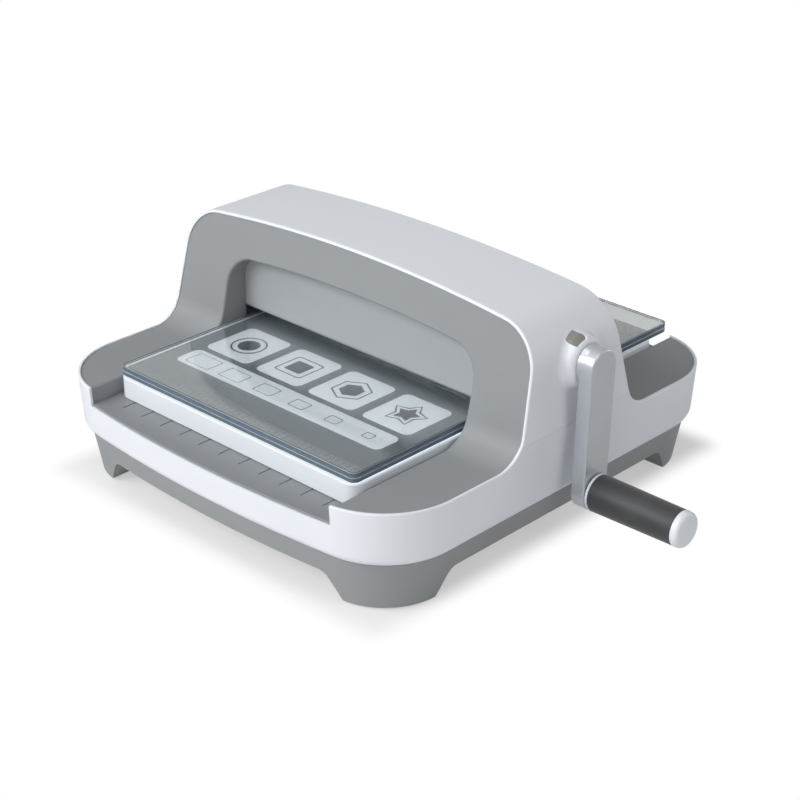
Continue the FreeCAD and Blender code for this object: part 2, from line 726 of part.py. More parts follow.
def crank_shaft():
    """Drive shaft with a collar inside the frame plate and its end in the arm's hub."""
    profile = [
        (115.5, 0, 0), (115.5, 8.5, 0), (118.2, 8.5, 0), (118.2, CRANK_SHAFT_R, 0),
        (ARM_X + 8, CRANK_SHAFT_R, 0), (ARM_X + 8, 0, 0)]
    return turned(profile, 0, CRANK_Z)


def crank_arm():
    """Tapered cast arm with round ends and a flared hub behind, hanging a little forward."""
    taper = math.asin((ARM_TOP_R - ARM_END_R) / ARM_LENGTH)

    def side(radius, z, way):
        return Vector(way * radius * math.cos(taper), z - radius * math.sin(taper), 0)

    def tip(z):
        return Vector(0, z, 0)

    top = [side(ARM_TOP_R, 0, way) for way in (1, -1)]
    end = [side(ARM_END_R, -ARM_LENGTH, way) for way in (1, -1)]
    wire = Part.Wire([
        Part.Arc(top[0], tip(ARM_TOP_R), top[1]).toShape(),
        Part.makeLine(top[1], end[1]),
        Part.Arc(end[1], tip(-ARM_LENGTH - ARM_END_R), end[0]).toShape(),
        Part.makeLine(end[0], top[0])])
    arm = slab(wire, SIDE, ARM_X, ARM_X + ARM_T)
    outer = [e for e in arm.Edges if e.BoundBox.XMin > ARM_X + ARM_T - 0.01]
    arm = arm.makeFillet(1.3, outer)
    arm.rotate(Vector(), Vector(1, 0, 0), -CRANK_LEAN)
    arm.translate(Vector(0, 0, CRANK_Z))
    hub = Part.makeCone(HUB_R, ARM_TOP_R - 0.1, ARM_X + 3 - HUB_X, Vector(HUB_X, 0, CRANK_Z), Vector(1, 0, 0))
    arm = arm.fuse(hub).removeSplitter()
    arm = arm.cut(rod(CRANK_SHAFT_R, HUB_X - 1, ARM_X + 8, 0, CRANK_Z))
    return arm.cut(rod(4, ARM_X + 3, ARM_X + ARM_T + 1, GRIP_Y, GRIP_Z))


def grip_spindle():
    profile = [
        (ARM_X + 3, 0, 0), (ARM_X + 3, 4, 0), (CAP_X - 6, 4, 0), (CAP_X - 6, 6.5, 0),
        (CAP_X - 4, 6.5, 0.8), (CAP_X - 4, 0, 0)]
    return turned(profile, GRIP_Y, GRIP_Z)


def grip_collar():
    profile = [(COLLAR_X, 4 + RUN, 0), (COLLAR_X, GRIP_R, 0.8), (SLEEVE_X, GRIP_R, 0.5), (SLEEVE_X, 4 + RUN, 0)]
    return turned(profile, GRIP_Y, GRIP_Z)


def grip_sleeve():
    """Soft dark sleeve with a pocket for the spindle's head."""
    profile = [
        (SLEEVE_X, 4 + RUN, 0), (SLEEVE_X, GRIP_R - 0.2, 0.5), (CAP_X, GRIP_TIP_R - 0.2, 0.5),
        (CAP_X, 8, 0), (CAP_X - 6.4, 8, 0), (CAP_X - 6.4, 4 + RUN, 0)]
    return turned(profile, GRIP_Y, GRIP_Z)


def grip_cap():
    profile = [
        (CAP_X - 2.5, 0, 0), (CAP_X - 2.5, 8, 0), (CAP_X, 8, 0), (CAP_X, GRIP_TIP_R, 0.5),
        (GRIP_END - 0.9, GRIP_TIP_R - 0.5, 3.0), (GRIP_END, 0, 0)]
    return turned(profile, GRIP_Y, GRIP_Z)


def platform_outline(inset):
    front = PAD_FRONT - 1.2 + inset
    back = PLATFORM_BACK - inset
    half = PLATFORM_HALF_W - inset
    radius = max(1.0, 9.0 - inset)
    return rounded([(half, front, radius), (half, back, radius), (-half, back, radius), (-half, front, radius)])


def platform_tray():
    """White tray, ribbed underneath; the pads reach past its back end."""
    tray = slab(platform_outline(0), ABOVE, PLATFORM_Z, PLATFORM_TOP)
    top = [e for e in tray.Edges if e.BoundBox.ZMin > PLATFORM_TOP - 0.01]
    tray = tray.makeFillet(1.2, top)
    hollow = slab(platform_outline(2.6), ABOVE, PLATFORM_Z - 1, PLATFORM_TOP - 2.6)
    low = PLATFORM_Z + 2.2
    ribs = [box(x - 1, x + 1, -FAR, FAR, low, PLATFORM_TOP) for x in (-74, -37, 0, 37, 74)]
    ribs += [box(-FAR, FAR, y - 1, y + 1, low, PLATFORM_TOP) for y in (-112, -74, -36, 2, 40, 78, 116)]
    return tray.cut(hollow.cut(ribs))


def platform_sole():
    return slab(platform_outline(2.6 + FIT), ABOVE, PLATFORM_Z + 0.2, PLATFORM_Z + 2.2)


def pad_slab(inset, back, z0, z1):
    half = PAD_HALF_W - inset
    front = PAD_FRONT + inset
    corners = [(half, front, 5), (half, back, 5), (-half, back, 5), (-half, front, 5)]
    return slab(rounded(corners), ABOVE, z0, z1)


def guide_card():
    return pad_slab(2.0, PLATFORM_BACK - 1, CARD_Z, CARD_Z + CARD_T)


def cutting_pad(level):
    z0 = PAD_Z + PAD_GAP + level * (PAD_T + PAD_GAP)
    pad = pad_slab(0, PAD_BACK, z0, z0 + PAD_T)
    return pad.makeFillet(0.8, [e for e in pad.Edges if e.BoundBox.ZLength < 0.01])


def release_button():
    """Kidney-shaped push button that slopes with the collar and stands a little proud on top."""
    start = GEAR_PLATE_X + GEAR_PLATE_T + SPRING_RISE
    inner = BUTTON_R - BUTTON_HALF
    foot_r = inner + (BUTTON_CREST_X - start) / BUTTON_SLOPE
    tip_r = inner - 2 / BUTTON_SLOPE
    axis = Vector(start, 0, CRANK_Z)
    slope = Part.makeCone(foot_r, tip_r, BUTTON_CREST_X + 2 - start, axis, Vector(1, 0, 0))
    slope.rotate(axis, Vector(1, 0, 0), 180)
    button = slab(button_wire(0), SIDE, start, 172).common(slope)
    rim = [e for e in button.Edges if e.BoundBox.XMin > start + 1 and e.BoundBox.XLength < 6]
    return button.makeFillet(0.15, rim)


def button_spring():
    """Bowed leaf between the gear plate and the button."""
    span, thick, width = 5.5, 0.4, 3.0

    def bow(lift):
        crest = Vector(0, SPRING_RISE - thick + lift, 0)
        return Part.Arc(Vector(-span, lift, 0), crest, Vector(span, lift, 0)).toShape()

    wire = Part.Wire([bow(thick), Part.makeLine(Vector(span, thick, 0), Vector(span, 0, 0)),
                      bow(0), Part.makeLine(Vector(-span, 0, 0), Vector(-span, thick, 0))])
    leaf = Part.Face(wire).extrude(Vector(0, 0, width))
    turn = math.radians(BUTTON_TURN)
    seat = Vector(GEAR_PLATE_X + GEAR_PLATE_T, BUTTON_R * math.cos(turn),
                  CRANK_Z + BUTTON_R * math.sin(turn) - width / 2)
    leaf.Placement = Placement(seat, Rotation(Vector(0, 0, 1), -90))
    return leaf


PIECES = {
    "base_skirt": base_skirt,
    "foot_pads": foot_pads,
    "base_screws": base_screws,
    "base_band": base_band,
    "front_feed_tray": lambda: feed_tray(-1),
    "rear_feed_tray": lambda: feed_tray(1),
    "front_fascia": lambda: fascia(-1),
    "rear_fascia": lambda: fascia(1),
    "bridge_cover": bridge_cover,
    "front_roller_shroud": lambda: roller_shroud(-1),
    "rear_roller_shroud": lambda: roller_shroud(1),
    "left_side_plate": lambda: side_plate(-1),
    "right_side_plate": lambda: side_plate(1),
    "plate_bolts": plate_bolts,
    "upper_front_tie_rod": lambda: tie_rod("upper_front"),
    "upper_rear_tie_rod": lambda: tie_rod("upper_rear"),
    "lower_front_tie_rod": lambda: tie_rod("lower_front"),
    "lower_rear_tie_rod": lambda: tie_rod("lower_rear"),
    "tie_rod_nuts": tie_rod_nuts,
    "upper_left_bush": lambda: roller_bush(-1, UPPER_Z),
    "upper_right_bush": lambda: roller_bush(1, UPPER_Z),
    "lower_left_bush": lambda: roller_bush(-1, LOWER_Z),
    "lower_right_bush": lambda: roller_bush(1, LOWER_Z),
    "inner_crank_bush": lambda: bush(CRANK_SHAFT_R, CRANK_SHAFT_R + 2, PLATE_X, PLATE_X + PLATE_T, CRANK_Z, -1),
    "outer_crank_bush": lambda: bush(CRANK_SHAFT_R, CRANK_SHAFT_R + 2, GEAR_PLATE_X,
                                     GEAR_PLATE_X + GEAR_PLATE_T, CRANK_Z, -1),
    "gear_plate": gear_plate,
    "gear_plate_spacers": gear_plate_spacers,
    "gear_plate_screws": gear_plate_screws,
    "button_spring": button_spring,
    "crank_arm": crank_arm,
    "crank_shaft": crank_shaft,
    "crank_pinion": crank_pinion,
    "grip_spindle": grip_spindle,
    "grip_collar": grip_collar,
    "grip_sleeve": grip_sleeve,
    "grip_cap": grip_cap,
    "upper_roller": lambda: roller(UPPER_Z, GEAR_X + GEAR_W + 1),
    "upper_drive_gear": upper_drive_gear,
    "upper_mesh_gear": lambda: mesh_gear(UPPER_TURN, UPPER_Z),
    "lower_roller": lambda: roller(LOWER_Z, PLATE_X + PLATE_T + 6),
    "lower_mesh_gear": lambda: mesh_gear(LOWER_TURN, LOWER_Z),
    "platform_tray": platform_tray,
    "platform_sole": platform_sole,
    "guide_card": guide_card,
    "lower_cutting_pad": lambda: cutting_pad(0),
    "upper_cutting_pad": lambda: cutting_pad(1),
    "release_button": release_button,
}

os.makedirs("parts", exist_ok=True)
for name, make in PIECES.items():
    shape = make()
    shape.translate(MIDDLE)
    shape.exportStep("parts/" + name + ".step")
    size = shape.BoundBox
    print(name, "solids", len(shape.Solids), "valid", shape.isValid(), "volume", round(shape.Volume),
          "x %.1f %.1f y %.1f %.1f z %.1f %.1f" % (
              size.XMin, size.XMax, size.YMin, size.YMax, size.ZMin, size.ZMax))
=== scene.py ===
# %% [markdown]
# # A tabletop die cutter, dressed in Blender
# The solids come packed from the CAD model, one object per piece, in metres and already in place.
# This lesson gives each of them a finish that holds up close to: moulded plastic, clear acrylic,
# cast silver, soft rubber, steel. It also lays the printed guide on the platform's card.

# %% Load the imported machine
import math

import bpy
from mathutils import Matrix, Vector


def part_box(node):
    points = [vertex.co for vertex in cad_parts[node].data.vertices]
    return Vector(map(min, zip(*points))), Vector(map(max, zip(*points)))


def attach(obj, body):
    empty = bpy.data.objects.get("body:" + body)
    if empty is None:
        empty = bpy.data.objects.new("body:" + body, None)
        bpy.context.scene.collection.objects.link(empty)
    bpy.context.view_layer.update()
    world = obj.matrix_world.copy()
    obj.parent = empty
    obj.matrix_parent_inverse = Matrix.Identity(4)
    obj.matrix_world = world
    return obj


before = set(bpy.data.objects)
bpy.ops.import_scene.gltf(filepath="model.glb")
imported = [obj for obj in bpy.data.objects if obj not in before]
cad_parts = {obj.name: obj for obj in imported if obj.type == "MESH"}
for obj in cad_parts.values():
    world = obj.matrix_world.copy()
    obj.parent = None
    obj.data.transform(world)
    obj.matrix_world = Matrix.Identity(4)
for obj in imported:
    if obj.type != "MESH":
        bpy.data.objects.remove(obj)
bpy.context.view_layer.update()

print("pieces:", len(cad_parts))

# %% [markdown]
# ## The camera
# The photograph was solved for its camera with the pads' four corners as a ruler. A camera could
# be aimed with a Track To constraint, but a plain position with two angles is easier to read and
# to check: azimuth turns about Z from the front, elevation tips down from the horizon.

# %% Set the camera
CAMERA_PLACE = (0.7774, -0.8448, 0.6286)
AZIMUTH, ELEVATION = math.radians(43.87), math.radians(26.4)
LENS_MM, SENSOR_MM = 85.69, 36
NEAREST_SEEN = 0.01

camera = bpy.data.objects.new("camera", bpy.data.cameras.new("camera"))
bpy.context.collection.objects.link(camera)
camera.location = CAMERA_PLACE
camera.rotation_euler = (math.pi / 2 - ELEVATION, 0, AZIMUTH)
camera.data.lens = LENS_MM
camera.data.sensor_width = SENSOR_MM
camera.data.clip_start = NEAREST_SEEN
bpy.context.scene.camera = camera
print("camera at", CAMERA_PLACE, "with a lens of", LENS_MM, "mm")

# %% [markdown]
# ## Formulas as shader nodes
# Node trees are quick to draw and slow to read. Here one small class wraps a socket, so that
# sums are written as sums and each operator adds its Math node. Every other node comes from one
# method: first its type, then its settings, then the values or links of its sockets.

# %% A socket that can be used in sums
NOISE_MIDDLE = 0.5


class Flow:
    """One output socket of a finish's node tree."""

    def __init__(self, finish, socket):
        self.finish = finish
        self.socket = socket

    def math(self, operation, *values):
        return self.finish.node("ShaderNodeMath", {"operation": operation}, dict(enumerate(values)))

    def __add__(self, other):
        return self.math("ADD", self, other)

    def __radd__(self, other):
        return self.math("ADD", other, self)

    def __sub__(self, other):
        return self.math("SUBTRACT", self, other)

    def __rsub__(self, other):
        return self.math("SUBTRACT", other, self)

    def __mul__(self, other):
        return self.math("MULTIPLY", self, other)

    def __rmul__(self, other):
        return self.math("MULTIPLY", other, self)

    def __abs__(self):
        return self.math("ABSOLUTE", self)

    def uneven(self):
        """How far a noise departs from its middle."""
        return self - NOISE_MIDDLE

    def smooth(self, low, high):
        """0 below low, 1 above high, and a soft step between them."""
        settings = {"interpolation_type": "SMOOTHSTEP"}
        sockets = {"Value": self, "From Min": low, "From Max": high}
        return self.finish.node("ShaderNodeMapRange", settings, sockets)


# %% A finish in the making
# The Mix node has a set of sockets for each type of data. These are its sockets for colours.
MIX_FACTOR, MIX_LOW, MIX_HIGH, MIX_RESULT = 0, 6, 7, 2
CORNER_SAMPLES = 4


class Finish:
    """The node tree of a material, or of the world, while it is being made."""

    def __init__(self, owner, output_kind="ShaderNodeOutputMaterial"):
        owner.use_nodes = True
        self.owner = owner
        self.tree = owner.node_tree
        self.tree.nodes.clear()
        self.output = self.tree.nodes.new(output_kind)

    def node(self, kind, settings=None, sockets=None, output=0):
        made = self.tree.nodes.new(kind)
        for key, value in (settings or {}).items():
            setattr(made, key, value)
        for key, value in (sockets or {}).items():
            self.feed(made.inputs[key], value)
        return Flow(self, made.outputs[output])

    def feed(self, socket, value):
        """Link a flow to a socket, or set the socket to a plain value."""
        if isinstance(value, Flow):
            self.tree.links.new(value.socket, socket)
        elif socket.type == "RGBA":
            socket.default_value = (*value, 1)
        else:
            socket.default_value = value

    def mix(self, factor, low, high):
        """Colour between low and high."""
        sockets = {MIX_FACTOR: factor, MIX_LOW: low, MIX_HIGH: high}
        return self.node("ShaderNodeMix", {"data_type": "RGBA"}, sockets, output=MIX_RESULT)

    def blend(self, factor, low, high):
        """Shader between low and high."""
        return self.node("ShaderNodeMixShader", {}, {0: factor, 1: low, 2: high})

    def vector(self, operation, *values, output=0):
        settings = {"operation": operation}
        return self.node("ShaderNodeVectorMath", settings, dict(enumerate(values)), output)

    def place(self):
        return self.node("ShaderNodeTexCoord", output="Object")

    def seen_by(self, kind):
        """1 for rays of one kind: Camera, Glossy, Transmission or Shadow."""
        return self.node("ShaderNodeLightPath", output="Is " + kind + " Ray")

    def noise(self, size, detail=2.0, stretch=(1, 1, 1)):
        """Cloudy value round 0.5, with features about size metres across."""
        scaled = self.node("ShaderNodeMapping", {}, {"Vector": self.place(), "Scale": stretch})
        sockets = {"Vector": scaled, "Scale": 1 / size, "Detail": detail}
        return self.node("ShaderNodeTexNoise", {}, sockets)

    def edges(self, radius):
        """Where the surface turns a corner: 0 on flats, rising towards edges."""
        soft = self.node("ShaderNodeBevel", {"samples": CORNER_SAMPLES}, {"Radius": radius})
        flat = self.node("ShaderNodeNewGeometry", output="Normal")
        return 1 - self.vector("DOT_PRODUCT", soft, flat, output="Value")

    def bump(self, height, distance):
        return self.node("ShaderNodeBump", {}, {"Height": height, "Distance": distance})

    def principled(self, **sockets):
        named = {key.replace("_", " "): value for key, value in sockets.items()}
        return self.node("ShaderNodeBsdfPrincipled", {}, named)

    def done(self, surface, volume=None):
        """Link the output, and hand over the finished material or world."""
        self.tree.links.new(surface.socket, self.output.inputs["Surface"])
        if volume is not None:
            self.tree.links.new(volume.socket, self.output.inputs["Volume"])
        print("finish", self.owner.name, "with", len(self.tree.nodes), "nodes")
        return self.owner


def new_finish(name):
    return Finish(bpy.data.materials.new(name))


# %% Colours by their levels on a screen
WHITE, BLACK = (1, 1, 1), (0, 0, 0)


def linear(level):
    """Linear light of a level of 0 to 255, by the curve of the sRGB standard."""
    share = level / 255
    return share / 12.92 if share <= 0.04045 else ((share + 0.055) / 1.055) ** 2.4


def colour(red, green, blue):
    return (linear(red), linear(green), linear(blue))


def darker(tint, share):
    return tuple(light * share for light in tint)


print("a level of 128 is", round(linear(128), 3), "of full light")

# %% [markdown]
# ## Floor and backdrop
# The machine stands on a white sweep in front of a white backdrop. The floor could be lit until it
# burns out, but that would bleach the white mouldings too. Instead the eye sees it partly as plain
# white, and wholly so away from the machine, where no shadow falls. Glossy and clear faces see sweep
# and backdrop dimmer, or the clear pads would vanish against them.

# %% Floor
WHITE_NEAR, SWEEP_SHEEN = 0.45, 0.55
PAPER_LEVEL, PAPER_CLOUD, PAPER_CLOUD_SIZE = 0.80, 0.02, 0.35
BASE_MIDDLE, BASE_HALF = (-0.045, 0, 0), (0.1425, 0.161, 1)
SHADOW_REACH = 0.024
FLOOR_HALF, FLOOR_Z = 6.0, -0.0003

sweep = new_finish("studio_floor")
paper = PAPER_LEVEL + PAPER_CLOUD * sweep.noise(PAPER_CLOUD_SIZE)
lit_paper = sweep.principled(Base_Color=sweep.mix(paper, BLACK, WHITE), Roughness=1.0, Specular_IOR_Level=0.0)
plain_white = sweep.node("ShaderNodeEmission", {}, {"Color": WHITE, "Strength": 1.0})
aside = sweep.vector("ABSOLUTE", sweep.vector("SUBTRACT", sweep.place(), BASE_MIDDLE))
outside = sweep.vector("MAXIMUM", sweep.vector("SUBTRACT", aside, BASE_HALF), (0, 0, 0))
away = sweep.vector("LENGTH", outside, output="Value").smooth(0.0, SHADOW_REACH)
whiteness = sweep.seen_by("Camera") * (WHITE_NEAR + (1 - WHITE_NEAR) * away)
bright = sweep.blend(whiteness, lit_paper, plain_white)
dim_white = sweep.node("ShaderNodeEmission", {}, {"Color": WHITE, "Strength": SWEEP_SHEEN})
mirrored = sweep.seen_by("Glossy") + sweep.seen_by("Transmission")
sweep_material = sweep.done(sweep.blend(mirrored, bright, dim_white))

mesh = bpy.data.meshes.new("floor")
corners = [(x * FLOOR_HALF, y * FLOOR_HALF, FLOOR_Z) for x, y in ((-1, -1), (1, -1), (1, 1), (-1, 1))]
mesh.from_pydata(corners, [], [(0, 1, 2, 3)])
mesh.materials.append(sweep_material)
floor = bpy.data.objects.new("floor", mesh)
bpy.context.collection.objects.link(floor)
print("floor of", 2 * FLOOR_HALF, "m")

# %% Backdrop
AMBIENT, BACKDROP_SHEEN = 0.05, 0.42

world = bpy.data.worlds.new("studio")
bpy.context.scene.world = world
sky = Finish(world, "ShaderNodeOutputWorld")
dim = sky.node("ShaderNodeBackground", {}, {"Color": WHITE, "Strength": AMBIENT})
white = sky.node("ShaderNodeBackground", {}, {"Color": WHITE, "Strength": 1.0})
mirrored = BACKDROP_SHEEN * (sky.seen_by("Glossy") + sky.seen_by("Transmission"))
sky.done(sky.blend(sky.seen_by("Camera") + mirrored, dim, white))
bpy.context.scene.view_settings.view_transform = "Standard"

# %% [markdown]
# ## Soft boxes
# Products are photographed under large soft lights, which Blender has as area lamps. A sun or a
# point lamp would be simpler, but its shadows are hard. A broad key stands in front on the left, a
# weaker lamp in front on the right, one overhead, and two weak ones light the right side and the
# back. The lamp in front on the right shows in no reflection, because seen from behind its mirror
# image would blank out the pads.

# %% Set the soft boxes
AIM = Vector((-0.04, 0.0, 0.08))


def soft_box(name, place, size, power, mirrored=True):
    lamp = bpy.data.lights.new(name, "AREA")
    lamp.shape = "RECTANGLE"
    lamp.size, lamp.size_y = size
    lamp.energy = power
    light = bpy.data.objects.new(name, lamp)
    bpy.context.collection.objects.link(light)
    light.location = place
    light.rotation_euler = (AIM - Vector(place)).to_track_quat("-Z", "Y").to_euler()
    light.visible_glossy = mirrored
    light.visible_transmission = mirrored
    print("soft box", name, "of", power, "W")


soft_box("key", place=(-0.75, -1.55, 1.25), size=(1.3, 1.0), power=29.0)
soft_box("front", place=(0.75, -1.65, 0.90), size=(1.2, 1.0), power=10.4, mirrored=False)
soft_box("overhead", place=(-0.10, -0.35, 1.80), size=(1.2, 1.0), power=7.7)
soft_box("fill", place=(1.70, 0.05, 0.75), size=(0.8, 0.8), power=4.6)
soft_box("rear", place=(0.80, 1.70, 0.55), size=(0.9, 0.7), power=6.0)

# %% [markdown]
# ## Moulded plastic
# The white and grey mouldings are one family: a coloured plastic, glossy or sparked matt by its
# tool. Close up the gloss is never quite even, the matt has a fine grain, and use rubs the grey
# corners bright. The white corners get a darker painted shade instead, which tones down their highlight.
# One function with a few values gives them all, so they still look like one machine.

# %% One function for every moulding
PLASTIC_IOR, COAT_ROUGHNESS = 1.49, 0.25
CLOUD_SIZE, CLOUD_TINT, CLOUD_SHADE, CLOUD_GLOSS = 0.06, 0.12, 0.82, 0.10
# Corners take their own colour: worn lighter on the grey mouldings, a darker painted shade on the white one.
CORNER_REACH, CORNER_RANGE, CORNER_WEAR_AND_SHADE_SHARE, CORNER_GLOSS = 0.0012, (0.02, 0.30), 0.35, 0.05
CORNER_PATCH_SIZE, CORNER_PATCH_RANGE = 0.012, (0.35, 0.75)
GRAIN_GLOSS = 0.06


def moulding(name, tint, corner_wear_and_shade, roughness, grain, depth, coat=0.0):
    """Plastic with tool grain, uneven gloss, and corners worn lighter on grey and given a darker painted
    shade on white.
    """
    finish = new_finish(name)
    cloud = finish.noise(CLOUD_SIZE, detail=3.0)
    fine = finish.noise(grain)
    corner_patches = finish.noise(CORNER_PATCH_SIZE, detail=3.0).smooth(*CORNER_PATCH_RANGE)
    corner = finish.edges(CORNER_REACH).smooth(*CORNER_RANGE) * corner_patches
    base = finish.mix(CLOUD_TINT * cloud, tint, darker(tint, CLOUD_SHADE))
    base = finish.mix(CORNER_WEAR_AND_SHADE_SHARE * corner, base, corner_wear_and_shade)
    gloss = roughness + CLOUD_GLOSS * cloud.uneven() + GRAIN_GLOSS * fine.uneven()
    return finish.done(finish.principled(
        Base_Color=base, Roughness=gloss - CORNER_GLOSS * corner, Normal=finish.bump(fine, depth),
        Coat_Weight=coat, Coat_Roughness=COAT_ROUGHNESS, IOR=PLASTIC_IOR))


# %% The mouldings' colours
# The white moulding's corner colour is a painted shade, darker than its tint, that tones down the highlight
# on its rims.
white_shell = moulding("white_moulding", colour(231, 235, 241), corner_wear_and_shade=colour(200, 204, 211),
                       roughness=0.44, grain=0.0011, depth=0.000005, coat=0.06)
fascia_grey = moulding("grey_fascia", colour(143, 147, 150), corner_wear_and_shade=colour(166, 170, 173),
                       roughness=0.52, grain=0.0006, depth=0.00005)
# The shroud's grey is painted lighter than the fascia's, to offset the shade in its recess.
shroud_grey_painted_lighter = moulding("grey_shroud_painted_lighter", colour(159, 163, 167), corner_wear_and_shade=colour(180, 183, 187),
                       roughness=0.50, grain=0.0006, depth=0.00005)
skirt_grey = moulding("grey_skirt", colour(149, 152, 154), corner_wear_and_shade=colour(168, 171, 173),
                      roughness=0.55, grain=0.0007, depth=0.00006)
tray_grey = moulding("grey_tray", colour(134, 138, 141), corner_wear_and_shade=colour(158, 162, 165),
                     roughness=0.50, grain=0.0006, depth=0.00005)
button_grey = moulding("grey_button", colour(140, 138, 136), corner_wear_and_shade=colour(165, 163, 160),
                       roughness=0.42, grain=0.0007, depth=0.00003)


# %% Dress the mouldings
def dress(material, *names):
    for name in names:
        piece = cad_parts[name]
        piece.data.materials.clear()
        piece.data.materials.append(material)
    print(material.name, "on", ", ".join(names))


dress(white_shell, "base_band", "bridge_cover", "platform_tray", "platform_sole", "grip_collar", "grip_cap")
dress(fascia_grey, "front_fascia", "rear_fascia")
dress(shroud_grey_painted_lighter, "front_roller_shroud", "rear_roller_shroud")
dress(skirt_grey, "base_skirt")
dress(tray_grey, "front_feed_tray", "rear_feed_tray")
dress(button_grey, "release_button")

# %% [markdown]
# ## Clear cutting pads
# The two pads are thick clear acrylic. Seen flat they only veil the card. Seen through an edge the
# light has come a long way inside and bounced from face to face, so the edge turns a deep grey blue.
# A path tracer gives up before such a ray comes out, so the sawn edges get a body of that colour,
# told from the flats by their normal, and only where they are seen from outside. Glass also blocks
# lamps, so for shadow rays the pads are plain see-through, and the card below stays lit.

# %% Polished faces
ACRYLIC_IOR, ACRYLIC_CLEAR = 1.49, (0.94, 0.95, 0.95)
SCUFF_SIZE, SCUFF_STRETCH, SCUFF_RANGE = 0.004, (1, 0.12, 1), (0.62, 0.80)
HAZE_SIZE, HAZE_DEPTH = 0.05, 0.00003
PAD_ROUGHNESS, HAZE_DULLS, SCUFF_DULLS = 0.025, 0.03, 0.10


def polished_face(finish):
    """Clear acrylic with a little haze, and fine scuffs along the feed."""
    scuff = finish.noise(SCUFF_SIZE, detail=3.0, stretch=SCUFF_STRETCH).smooth(*SCUFF_RANGE)
    haze = finish.noise(HAZE_SIZE)
    gloss = PAD_ROUGHNESS + HAZE_DULLS * haze + SCUFF_DULLS * scuff
    return finish.principled(Base_Color=ACRYLIC_CLEAR, Roughness=gloss, IOR=ACRYLIC_IOR,
                             Transmission_Weight=1.0, Normal=finish.bump(haze, HAZE_DEPTH))


# %% Sawn edges
SAW_SIZE, SAW_STRETCH = 0.003, (1, 1, 0.1)
# The rims' pale colour is a painted highlight, for the light that the rounded rims refract.
SAWN_DARK, SAWN_LIGHT, RIM_PAINTED_HIGHLIGHT = colour(92, 108, 125), colour(108, 124, 140), colour(176, 185, 193)
RIM_RANGE = (0.20, 0.50)
EDGE_ROUGHNESS, SAW_DULLS = 0.20, 0.10


def sawn_edge(finish, lean):
    """The grey blue of an edge, with saw marks, and a painted highlight on the rims that lean to the flats.
    """
    saw = finish.noise(SAW_SIZE, stretch=SAW_STRETCH)
    sawn = finish.mix(saw, SAWN_DARK, SAWN_LIGHT)
    base = finish.mix(lean.smooth(*RIM_RANGE), sawn, RIM_PAINTED_HIGHLIGHT)
    return finish.principled(Base_Color=base, Roughness=EDGE_ROUGHNESS + SAW_DULLS * saw, IOR=ACRYLIC_IOR)


# %% Acrylic
EDGE_RANGE, EDGE_SHARE = (0.10, 0.40), 0.9
SHADOW_TINT = (0.93, 0.95, 0.96)
BODY_TINT, BODY_DENSITY = (0.55, 0.63, 0.72), 9.0


def acrylic(name):
    finish = new_finish(name)
    facing = finish.node("ShaderNodeNewGeometry", output="True Normal")
    lean = abs(finish.node("ShaderNodeSeparateXYZ", {}, {0: facing}, output="Z"))
    outer = 1 - finish.node("ShaderNodeNewGeometry", output="Backfacing")
    edge = EDGE_SHARE * outer * (1 - lean).smooth(*EDGE_RANGE)
    pad = finish.blend(edge, polished_face(finish), sawn_edge(finish, lean))
    passing = finish.node("ShaderNodeBsdfTransparent", {}, {"Color": SHADOW_TINT})
    body = finish.node("ShaderNodeVolumeAbsorption", {}, {"Color": BODY_TINT, "Density": BODY_DENSITY})
    return finish.done(finish.blend(finish.seen_by("Shadow"), pad, passing), body)


dress(acrylic("pad_acrylic"), "lower_cutting_pad", "upper_cutting_pad")

# %% [markdown]
# ## Printed card
# Under the pads lies a dark grey card with pale panels. Its ink is matt and lets a little of the
# card's fibre through. The print could be a picture, but inked shapes as flat meshes stay sharp at
# any distance and need no image.

# %% Card and inks
FIBRE_SIZE, FIBRE_STRETCH, FIBRE_DEPTH = 0.0009, (1, 0.3, 1), 0.00001
BLOT_SIZE, BLOT_TINT, FIBRE_TINT, INK_SHADE = 0.03, 0.16, 0.10, 0.78
INK_ROUGHNESS, FIBRE_GLOSS = 0.55, 0.12


def print_ink(name, tint):
    finish = new_finish(name)
    fibre = finish.noise(FIBRE_SIZE, detail=3.0, stretch=FIBRE_STRETCH)
    blot = finish.noise(BLOT_SIZE)
    base = finish.mix(BLOT_TINT * blot + FIBRE_TINT * fibre, tint, darker(tint, INK_SHADE))
    gloss = INK_ROUGHNESS + FIBRE_GLOSS * fibre.uneven()
    return finish.done(finish.principled(Base_Color=base, Roughness=gloss,
                                         Normal=finish.bump(fibre, FIBRE_DEPTH)))


dress(print_ink("card_grey", colour(92, 96, 99)), "guide_card")
ink_pale = print_ink("ink_pale", colour(226, 227, 228))
ink_dark = print_ink("ink_dark", colour(58, 61, 64))
ink_mid = print_ink("ink_mid", colour(150, 158, 166))

# %% [markdown]
# ## The guide's layout
# Each end of the card carries the same guide, turned half round so that it reads from either side:
# four panels with plain cutting shapes near the bridge, a row of size steps in front of them and a
# scale along the edge. Outlines come from formulas, in millimetres from the card's centre. They
# could be drawn as curves, but loops of points become flat faces without a conversion.

# %% Outlines
ROUND_STEPS = 5
STAR_START = 90.0
CIRCLE_FLAT = 0.1
SQUARE_ROUNDING = 1 / 5


def rounded_box(x, y, half_w, half_h, radius, steps=ROUND_STEPS):
    """Loop of points round a box with round corners."""
    corners = ((1, 1, 0), (-1, 1, 90), (-1, -1, 180), (1, -1, 270))
    loop = []
    for side, end, start in corners:
        for step in range(steps + 1):
            turn = math.radians(start + 90 * step / steps)
            loop.append((x + side * (half_w - radius) + radius * math.cos(turn),
                         y + end * (half_h - radius) + radius * math.sin(turn)))
    return loop


def circle_loop(x, y, radius):
    """Loop of a circle: a box that is nearly all corner, so that no two points fall together."""
    return rounded_box(x, y, radius, radius, radius - CIRCLE_FLAT)


